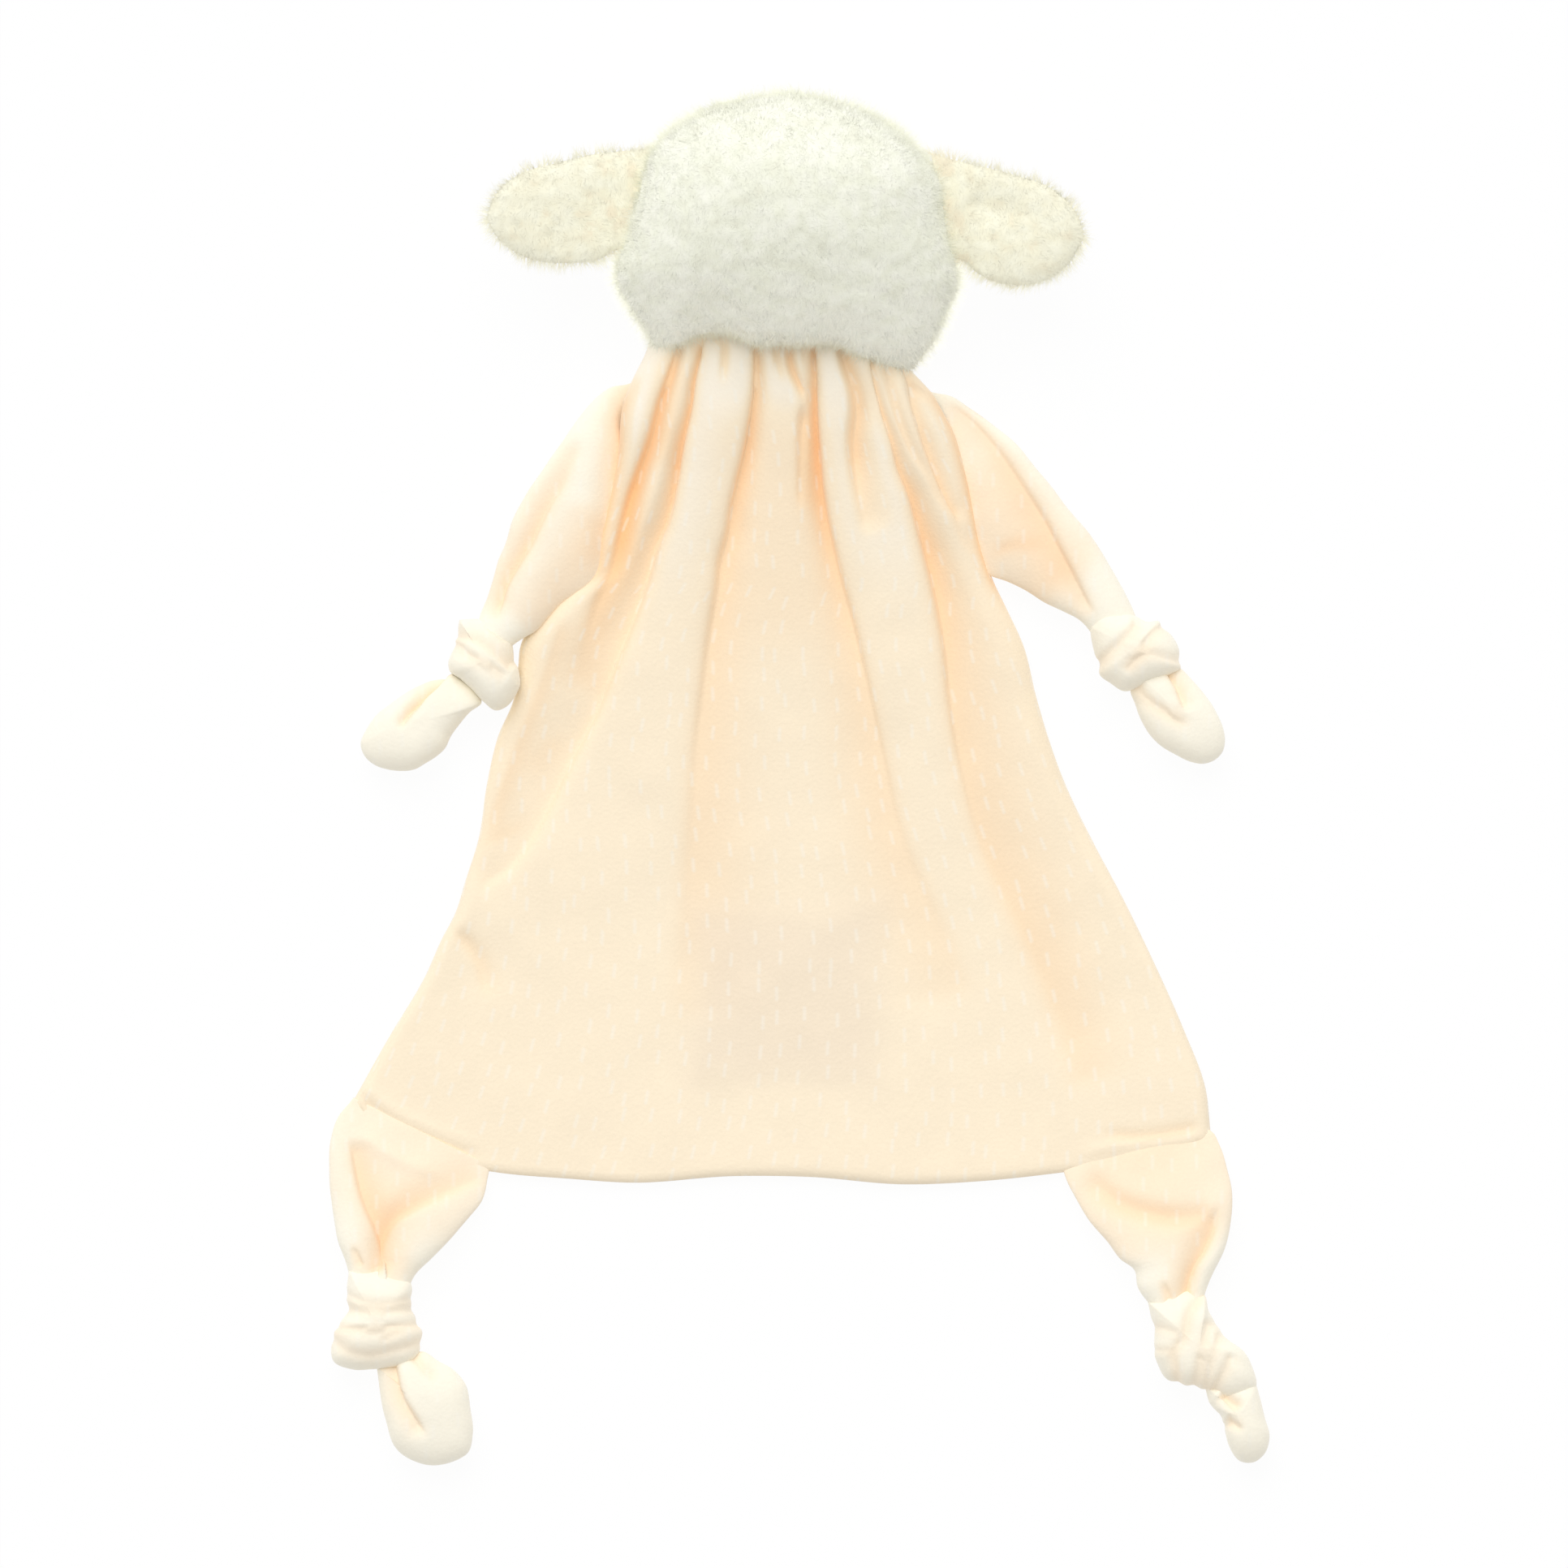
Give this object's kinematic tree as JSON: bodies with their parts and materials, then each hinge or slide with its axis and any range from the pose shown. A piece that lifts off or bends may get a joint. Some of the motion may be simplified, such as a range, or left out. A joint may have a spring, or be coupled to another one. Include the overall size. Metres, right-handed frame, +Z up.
{
  "type": "baby comforter blanket",
  "caption": "Soft animal comforter: a stuffed head with ears on a gathered two-layer cloth body with knotted arms and legs.",
  "frame": {"origin": "on the ground, under the middle of the box that the comforter fills as it lies on its face", "axes": "+X to the viewer's right looking down on the toy's back, +Y from the hem towards the top of the head, +Z up out of the toy's back"},
  "size_m": [0.2286, 0.3382, 0.0535],
  "materials": {
    "sherpa_plush": "long-pile knitted plush, matt",
    "face_velour": "short-pile velour, matt",
    "body_velour": "peach velour with small pale dashes, matt",
    "embroidery_thread": "satin-stitched thread",
    "polyester_fill": "loose fibre",
    "backing_cloth": "woven backing, matt",
    "sewing_thread": "twisted thread"
  },
  "bodies": {
    "body": {"front_panel": "body_velour", "back_panel": "body_velour", "inner_backing_patch": "backing_cloth"},
    "head": {"head_back": "sherpa_plush", "head_face": "face_velour", "head_stuffing": "polyester_fill", "neck_gather": "body_velour", "neck_thread": "sewing_thread", "left_eye": "embroidery_thread", "right_eye": "embroidery_thread", "nose": "embroidery_thread"},
    "left_ear": {"left_ear_back": "sherpa_plush", "left_ear_lining": "face_velour"},
    "right_ear": {"right_ear_back": "sherpa_plush", "right_ear_lining": "face_velour"},
    "left_arm": {"left_arm_sleeve": "body_velour", "left_arm_knot": "body_velour"},
    "left_hand": {"left_hand_loop": "body_velour"},
    "right_arm": {"right_arm_sleeve": "body_velour", "right_arm_knot": "body_velour"},
    "right_hand": {"right_hand_loop": "body_velour"},
    "left_leg": {"left_leg_sleeve": "body_velour", "left_leg_knot": "body_velour"},
    "left_foot": {"left_foot_tail": "body_velour"},
    "right_leg": {"right_leg_sleeve": "body_velour", "right_leg_knot": "body_velour"},
    "right_foot": {"right_foot_tail": "body_velour"}
  },
  "joints": [
    {"name": "neck_nod", "type": "hinge", "parent": "body", "child": "head", "pos_m": [-0.00386, 0.1025, 0.013], "axis": [1, 0, 0], "range_deg": [-40, 40]},
    {"name": "left_ear_flap", "type": "hinge", "parent": "head", "child": "left_ear", "pos_m": [-0.04066, 0.14063, 0.0265], "axis": [0.2838, 0.9589, 0], "range_deg": [-35, 50], "stiffness_Nm_per_rad": 0.01},
    {"name": "right_ear_flap", "type": "hinge", "parent": "head", "child": "right_ear", "pos_m": [0.03874, 0.14063, 0.0265], "axis": [0.2838, -0.9589, 0], "range_deg": [-35, 50], "stiffness_Nm_per_rad": 0.01},
    {"name": "left_arm_lift", "type": "hinge", "parent": "body", "child": "left_arm", "pos_m": [-0.04321, 0.0711, 0.0068], "axis": [0.1968, 0.9786, 0.0606], "range_deg": [-70, 65]},
    {"name": "left_hand_swing", "type": "hinge", "parent": "left_arm", "child": "left_hand", "pos_m": [-0.08205, 0.02035, 0.008], "axis": [0, 0, 1], "range_deg": [-30, 30]},
    {"name": "right_arm_lift", "type": "hinge", "parent": "body", "child": "right_arm", "pos_m": [0.04028, 0.0711, 0.0068], "axis": [0.1967, -0.9786, -0.0606], "range_deg": [-70, 65]},
    {"name": "right_hand_swing", "type": "hinge", "parent": "right_arm", "child": "right_hand", "pos_m": [0.09133, 0.02218, 0.008], "axis": [0, 0, 1], "range_deg": [-30, 30]},
    {"name": "left_leg_lift", "type": "hinge", "parent": "body", "child": "left_leg", "pos_m": [-0.0927, -0.09077, 0.0025], "axis": [-0.8822, 0.4708, 0], "range_deg": [-80, 80]},
    {"name": "left_foot_swing", "type": "hinge", "parent": "left_leg", "child": "left_foot", "pos_m": [-0.09681, -0.14473, 0.008], "axis": [0, 0, 1], "range_deg": [-30, 30]},
    {"name": "right_leg_lift", "type": "hinge", "parent": "body", "child": "right_leg", "pos_m": [0.08624, -0.09571, 0.0025], "axis": [-0.97, -0.2429, 0], "range_deg": [-80, 80]},
    {"name": "right_foot_swing", "type": "hinge", "parent": "right_leg", "child": "right_foot", "pos_m": [0.10395, -0.14905, 0.008], "axis": [0, 0, 1], "range_deg": [-30, 30]}
  ]
}
